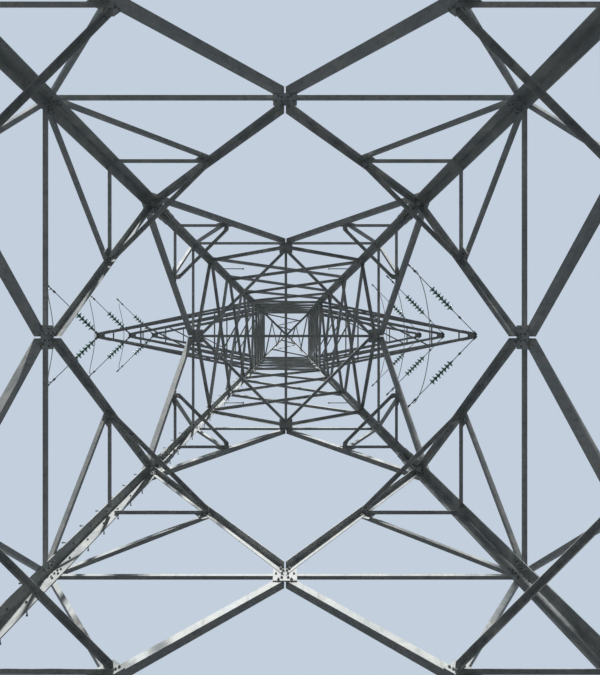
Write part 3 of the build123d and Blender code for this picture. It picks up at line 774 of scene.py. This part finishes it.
def armSideBolts():
    outer, middle, inner = [(x - tower["waistHalf"]) / run.x for x in arm["struts"]]
    gap = arm["webOffset"]
    webs = (
        (middle, middle), (inner, inner), (outer - gap, middle + gap), (middle - gap, inner + gap),
        (inner - gap, arm["rootGap"] + gap),
    )
    plateGrip = (arm["plate"], -arm["chord"])
    across, up = arm["rootBolts"]
    bolts = [("M16", u, v, *plateGrip) for u in across for v in up]
    bolts += [("M20", u, chordHeight(u), *plateGrip) for u in arm["rootTop"]]
    bolts += [("M16", armLength - u, arm["tipLevel"], *plateGrip) for u in arm["tipBolts"]]
    for u in arm["tipTop"]:
        bolts.append(("M16", armLength - u, chordHeight(armLength - u), *plateGrip))
    for foot, head in webs:
        start = Vector((foot, arm["webFoot"]))
        end = Vector((head, chordHeight(head)))
        step = (end - start).normalized() * arm["webEnd"]
        grip = (0, -arm["chord"] - arm["web"])
        bolts += [("M12", *place, *grip) for place in (start + step, end - step)]
    return bolts


def armFloorBolts():
    outer, middle, inner = arm["struts"]
    gap = arm["floorOffset"]
    ends = [(x, side * armHalf(x)) for x in arm["struts"] for side in (-1, 1)]
    root = tower["waistHalf"] + arm["rootGap"] + gap
    ends += [(middle - gap, -armHalf(middle - gap)), (inner + gap, armHalf(inner + gap))]
    ends += [(inner - gap, armHalf(inner - gap)), (root, -armHalf(root))]
    grip = (0, -arm["chord"] - arm["web"])
    bolts = [("M16", x, y - math.copysign(arm["floorEnd"], y), *grip) for x, y in ends]
    tipGrip = (arm["tipPlate"], -arm["chord"])
    along, across = arm["tipFloor"]
    return bolts + [("M16", tower["armReach"] - x, y, *tipGrip) for x in along for y in across]


def rootBolts():
    # through the bent plates on the posts, below and above
    wall = tower["cageLeg"][1]
    near, far = arm["post"]
    places = [(near, v, -wall) for v in arm["postLow"]]
    places += [(far, v, -wall - arm["bentPlate"]) for v in arm["postLow"]]
    places += [(gap, v, -wall) for gap in arm["post"] for v in arm["postHigh"]]
    return [("M16", tower["waistHalf"] - gap, v, arm["plate"], low) for gap, v, low in places]


armParts = []
for matrix in (Matrix(), flipY):
    armParts += boltParts(matrix @ armSide, armSideBolts()) + boltParts(matrix @ cageFace, rootBolts())
armParts += boltParts(armFloor, armFloorBolts())
armBolts = gather("arm_bolts", armParts)
for level, armHeight in zip(levels, armHeights):
    pair = [(armBolts, shift(0, 0, armHeight) @ turn(angle, "Z")) for angle in (0, 180)]
    addPiece(gather("bolts_arms_" + level, pair), boltSteel)

peak = {
    "top": 38.986, "half": 0.095, "leg": (0.08, 0.008), "bar": 0.005, "shares": (0.04, 0.36, 0.61, 0.8),
}
rise = peak["top"] - tower["postTop"]
peakLean = (tower["waistHalf"] - peak["half"]) / rise
peakFace = faceMatrix((0, -tower["waistHalf"], tower["postTop"]), (1, 0, 0), (0, -1, peakLean))
ends = []
for share in peak["shares"]:
    edge = tower["waistHalf"] - peakLean * rise * share
    ends.append((edge - peak["leg"][0] / 2, rise * share * math.hypot(1, peakLean)))
both = (peak["bar"], -peak["leg"][1] - peak["bar"])
peakBolts = [
    ("M12", -ends[0][0], ends[0][1], *both), ("M12", *ends[0], peak["bar"], -peak["leg"][1]),
    ("M12", *ends[1], *both), ("M12", -ends[2][0], ends[2][1], *both), ("M12", *ends[3], 0, both[1]),
]

diaphragm = {"level": 16.34, "inset": 0.15, "plate": 0.01, "bar": 0.006, "inner": 0.05, "side": 0.053}
reach = tower["groundHalf"] - lean * diaphragm["level"] - diaphragm["inset"]
across = diaphragm["plate"] + diaphragm["bar"]
diaphragmBolts = [
    ("M16", 0, -reach, across, -diaphragm["bar"]),
    ("M16", 0, diaphragm["inner"] - reach, across, 0),
]
for u in (-diaphragm["side"], diaphragm["side"]):
    place = (u, diaphragm["side"] - reach)
    diaphragmBolts.append(("M16", *place, diaphragm["plate"], -diaphragm["bar"]))

hip = {"depth": 0.11, "rise": 0.014, "plate": 0.008, "bar": 0.006, "bolts": (0.03, 0.08)}


def hipParts(panel):
    # the level bars across the four corners of one panel
    height = (panel["apex"] + panel["foot"]) / 2 + hip["rise"]
    apex = onFace(0, panel["apex"])
    foot = legPoint(panel["foot"], tower[panel["leg"]][0])
    share = (panel["apex"] - height) / (panel["apex"] - panel["foot"])
    place = apex.lerp(foot, share)
    start = bodyFace @ Vector((*place, -hip["depth"]))
    end = Vector((start.y, start.x, start.z))
    length = (end - start).length
    grip = (hip["plate"], -hip["bar"])
    bolts = [("M16", u, 0, *grip) for step in hip["bolts"] for u in (step, length - step)]
    return roundTower(faceMatrix(start, end - start, (0, 0, 1)), bolts)


anchor = {"centre": 4.05, "spacing": 0.46, "plate": 0.03, "nutStep": 0.032}
anchorNuts = []
for x in (-1, 1):
    for y in (-1, 1):
        for i in (0, 1):
            place = [way * anchor["spacing"] / 2 - anchor["centre"] for way in (x, y)]
            nut = shift(*place, anchor["plate"] + i * anchor["nutStep"])
            nut = nut @ turn(x * 17 + y * 11 + i * 29, "Z")  # uneven turns, as tightened by hand
            anchorNuts += [(boltNuts["M36"], turn(90 * quarter, "Z") @ nut) for quarter in range(4)]

cornerParts = [part for panel in bracing["panels"] for part in hipParts(panel)]
levelFrame = faceMatrix((0, 0, diaphragm["level"]), (1, 0, 0), (0, 0, 1))
cornerParts += roundTower(levelFrame, diaphragmBolts)
addPiece(gather("bolts_peak", roundTower(peakFace, peakBolts)), boltSteel)
addPiece(gather("bolts_corners", cornerParts), boltSteel)
addPiece(gather("anchor_nuts", anchorNuts), boltSteel)
print("bolts on the arms, peak, corners and feet made")


# Cover plates where the legs' lower and upper angles join

splice = {
    "half": 0.41, "thickness": 0.012, "outer": (0.085, 0.14), "inner": (0.088, 0.12),
    "rows": (0.05, 0.12), "first": 0.05, "pitch": 0.078, "count": 5, "rounding": 0.002, "play": 0.004,
}
edgeTurn = turn(-math.degrees(math.atan2(lean, stretch)), "Z")
legEdge = bodyFace @ shift(-tower["groundHalf"], 0, 0) @ edgeTurn
joint = tower["splice"] * math.hypot(stretch, lean)
wall = tower["lowerLeg"][1]
packing = wall - tower["upperLeg"][1]
bm = bmesh.new()
thick = splice["thickness"]
for (line, width), level in ((splice["outer"], thick / 2), (splice["inner"], -wall - thick / 2)):
    size = (width, splice["half"] * 2, thick)
    addBlock(bm, legEdge @ shift(line, joint, level), size, splice["rounding"])
line, width = splice["inner"]
place = legEdge @ shift(line, joint + splice["half"] / 2, packing / 2 - wall)
addBlock(bm, place, (width, splice["half"] - splice["play"], packing))
covers = toMesh(bm, "covers")
spliceBolts = []
for i in range(splice["count"]):
    gap = splice["first"] + splice["pitch"] * i
    spliceBolts += [
        ("M20", u, joint + way * gap, thick, -wall - thick) for u in splice["rows"] for way in (-1, 1)
    ]
flipX = Matrix.Diagonal((-1, 1, 1, 1))
coverParts = []
parts = []
for quarter in range(4):
    for flip in (Matrix(), flipX):
        place = turn(90 * quarter, "Z") @ flip
        coverParts.append((covers, place))
        parts += boltParts(place @ legEdge, spliceBolts)
addPiece(gather("splice_covers", coverParts), legSteel)
addPiece(gather("bolts_splices", parts), boltSteel)
print("leg splices made")


# Step bolts on the rear left leg, by turns on its two flanges

steps = {
    "shank": 0.008, "length": 0.15, "button": (0.0135, 0.012),
    "pitch": 0.273, "first": 2.6, "waistGap": 0.26,
}


def clearHeights(first, last, joints):
    count = int((last - first) / steps["pitch"])
    heights = [first + steps["pitch"] * i for i in range(count + 1)]
    return [h for h in heights if all(abs(h - joint) > steps["pitch"] / 2 for joint in joints)]


def shankMesh():
    radius, depth = steps["button"]
    bm = bmesh.new()
    addCone(bm, Matrix(), steps["shank"], steps["shank"], steps["length"] - depth / 2, 12)
    addCone(bm, shift(0, 0, steps["length"] - depth), radius, radius * 0.85, depth, 14)
    return toMesh(bm, "shank")


shank = shankMesh()


def stepBolt(seat, index, wall):
    # on the rear left corner, by turns on each flange
    matrix = turn(270, "Z") @ (swap if index % 2 else Matrix()) @ seat
    under = matrix @ shift(0, 0, -wall) @ turn(180, "X")
    return [(shank, matrix), (boltNuts["M16"], matrix), (boltNuts["M16"], under)]


joints = [*tower["belts"], tower["stayRod"], *tower["crosses"], tower["splice"]]
joints += [tower["waist"] - steps["waistGap"], tower["waist"]]
for panel in bracing["panels"]:
    joints += [panel["foot"], panel["meeting"]]
swap = Matrix(((0, 1, 0, 0), (1, 0, 0, 0), (0, 0, 1, 0), (0, 0, 0, 1)))
stepParts = []
for i, height in enumerate(clearHeights(steps["first"], tower["waist"], joints)):
    flange, wall = tower["lowerLeg" if height < tower["splice"] else "upperLeg"]
    covered = abs(height - tower["splice"]) < splice["half"]
    place = legPoint(height, flange)
    seat = bodyFace @ shift(*place, splice["thickness"] if covered else 0)
    depth = tower["lowerLeg"][1] + 2 * splice["thickness"] if covered else wall
    stepParts += stepBolt(seat, i, depth)
joints = [level + gap for level in cageLevels for gap in (-bracing["cageGap"], 0, bracing["cageGap"])]
for i, height in enumerate(clearHeights(tower["waist"], tower["postTop"], joints)):
    seat = cageFace @ shift(post, height, 0)
    stepParts += stepBolt(seat, i, tower["cageLeg"][1])
addPiece(gather("step_bolts", stepParts), boltSteel, ["climbing_pegs"], 40)
print("step bolts made:", len(stepParts) // 3)


# Forged details on the fittings of each string: pins, eyes, collars, lock nuts and bands

fitting = {
    "rod": 0.013, "knob": 0.034, "knobPlace": 0.6, "knobLength": {"left": 0.036, "right": 0.09},
    "bodyPlace": 0.68, "bodyLength": 0.09, "tongue": 0.13, "terminal": (0.195, 0.022, 0.11),
    "twoBands": 0.06,  # a body longer than this has two bands
    "pinPlate": 0.03, "pinEdge": 0.02, "underNuts": ((-0.05, -0.005), -0.016),
    "linkEnds": (0.03, 0.032), "clampEnds": (0.024, 0.06), "bandGap": 0.012, "bandDepth": 0.004,
    "terminalBands": (0.03, 0.012), "terminalBolts": (0.05, 0.078), "boltSink": 0.002,
    "eye": (  # turned profiles: along the string and out from its middle
        (-0.022, 0), (-0.022, 0.012), (-0.013, 0.021), (0, 0.025),
        (0.013, 0.021), (0.022, 0.012), (0.022, 0),
    ),
    "socket": (
        (-0.034, 0), (-0.034, 0.013), (-0.022, 0.021), (0.01, 0.027),
        (0.026, 0.03), (0.03, 0.026), (0.03, 0),
    ),
    "shoulder": (
        (-0.055, 0), (-0.055, 0.013), (-0.03, 0.022), (-0.006, 0.027), (0.002, 0.027), (0.002, 0),
    ),
    "band": ((-0.006, 0.002), (-0.004, 0.0035), (0.004, 0.0035), (0.006, 0.002)),
}
eye = lathe("eye", fitting["eye"], 20)
socket = lathe("socket", fitting["socket"], 20)
shoulder = lathe("shoulder", fitting["shoulder"], 20)


def bandMesh(name, radius):
    profile = [(x, radius + r) for x, r in fitting["band"]]
    start = (profile[0][0], radius - fitting["bandDepth"])
    end = (profile[-1][0], radius - fitting["bandDepth"])
    return lathe(name, [start, *profile, end, start], 24)


knobBand = bandMesh("knob_band", fitting["knob"])
rodBand = bandMesh("rod_band", fitting["rod"])
terminalBand = bandMesh("terminal_band", fitting["terminal"][1])
alongX = turn(90, "Y")  # a nut's Z along the string


def lockedBody(rod, start, end):
    # a lock nut at each end of a turned body on a rod, and raised bands round it
    count = 2 if end - start > fitting["twoBands"] else 1
    parts = [
        (boltNuts["M24"], rod @ shift(end, 0, 0) @ alongX),
        (boltNuts["M24"], rod @ shift(start, 0, 0) @ alongX @ turn(180, "X")),
    ]
    for i in range(count):
        x = start + (end - start) * (i + 1) / (count + 1)
        parts.append((knobBand, rod @ shift(x, 0, 0)))
    return parts


def stringDetails(side, way, armHeight):
    lug, rod = stringMatrix(side, way, armHeight)
    link = string["link"][side]
    across = turn(90, "X")
    pin = lug @ shift(string["lug"] / 2 - fitting["pinEdge"], 0, 0) @ across
    parts = boltParts(pin, [("M20", 0, 0, fitting["pinPlate"], -fitting["pinPlate"])])
    places, level = fitting["underNuts"]
    parts += [(boltNuts["M16"], lug @ shift(x, 0, level) @ turn(180, "X")) for x in places]
    near, far = fitting["linkEnds"]
    parts += [(eye, rod @ shift(near, 0, 0)), (socket, rod @ shift(link - far, 0, 0))]
    knob = link * fitting["knobPlace"]
    parts += lockedBody(rod, knob, knob + fitting["knobLength"][side])
    clamp = rod @ shift(link + string["count"] * string["pitch"], 0, 0)
    near, far = fitting["clampEnds"]
    parts += [(eye, clamp @ shift(near, 0, 0)), (rodBand, clamp @ shift(far, 0, 0))]
    body = string["clamp"] * fitting["bodyPlace"]
    parts += lockedBody(clamp, body, body + fitting["bodyLength"])
    parts.append((shoulder, clamp @ shift(string["clamp"] - fitting["tongue"] / 2, 0, 0)))
    place, radius, depth = fitting["terminal"]
    middle = string["clamp"] - place
    top = (clamp @ shift(middle, 0, 0)).translation
    heading = math.degrees(math.atan2(rod[1][0], rod[0][0]))
    upright = Matrix.Translation(top) @ turn(heading, "Z")
    gap = radius + fitting["bandGap"]
    parts += [(rodBand, clamp @ shift(middle + step, 0, 0)) for step in (-gap, gap)]
    first, last = fitting["terminalBands"]
    for z in (first, depth - last):
        parts.append((terminalBand, upright @ shift(0, 0, -z) @ alongX))
    grip = (radius - fitting["boltSink"], fitting["boltSink"] - radius)
    bolts = [("M12", 0, -z, *grip) for z in fitting["terminalBolts"]]
    return parts + boltParts(upright @ across, bolts)


for level, armHeight in zip(levels, armHeights):
    parts = []
    for side in ("left", "right"):
        for way in (-1, 1):
            parts += stringDetails(side, way, armHeight)
    addPiece(gather("fitting_details_" + level, parts), forgedSteel, (), 40)
print("string fittings made")
